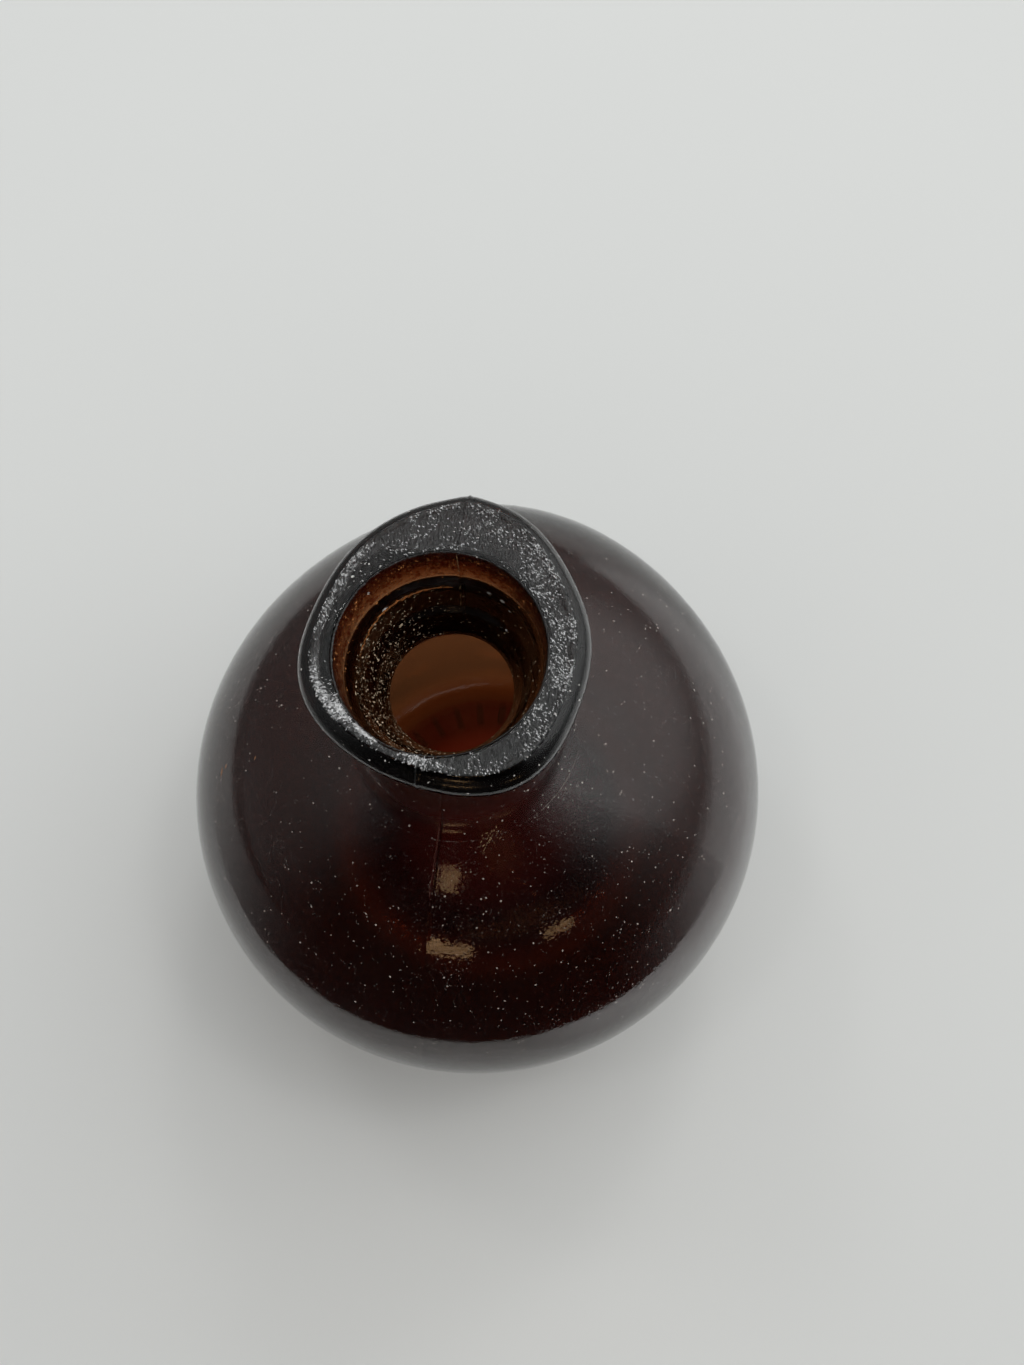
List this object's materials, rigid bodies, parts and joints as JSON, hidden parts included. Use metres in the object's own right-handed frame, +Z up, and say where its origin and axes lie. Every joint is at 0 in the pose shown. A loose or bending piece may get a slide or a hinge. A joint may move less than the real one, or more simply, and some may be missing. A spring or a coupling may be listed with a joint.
{
  "type": "vase",
  "caption": "Round dark amber-brown glass vase with a short thick neck, a stepped funnel throat and a thick uneven rolled lip.",
  "frame": {"origin": "on the table, under the vase's axis, at the centre of the bearing ring", "axes": "+Z up along the vase's axis and out of the mouth; +Y towards the side of the lip that reaches furthest, close to one end of the mould seam; +X to the right when looking along +Y"},
  "size_m": [0.2, 0.2, 0.2029],
  "materials": {
    "glass": "smooth mould-blown glass, dark red-amber where light comes through, nearly black where it doesn't",
    "lip_glass": "the same glass, pebbled on the flat top of the lip and fire-polished round its edge"
  },
  "bodies": {
    "root": {"base": "glass", "heel": "glass", "body": "glass", "shoulder": "glass", "neck": "glass", "lip": "lip_glass"}
  },
  "joints": []
}
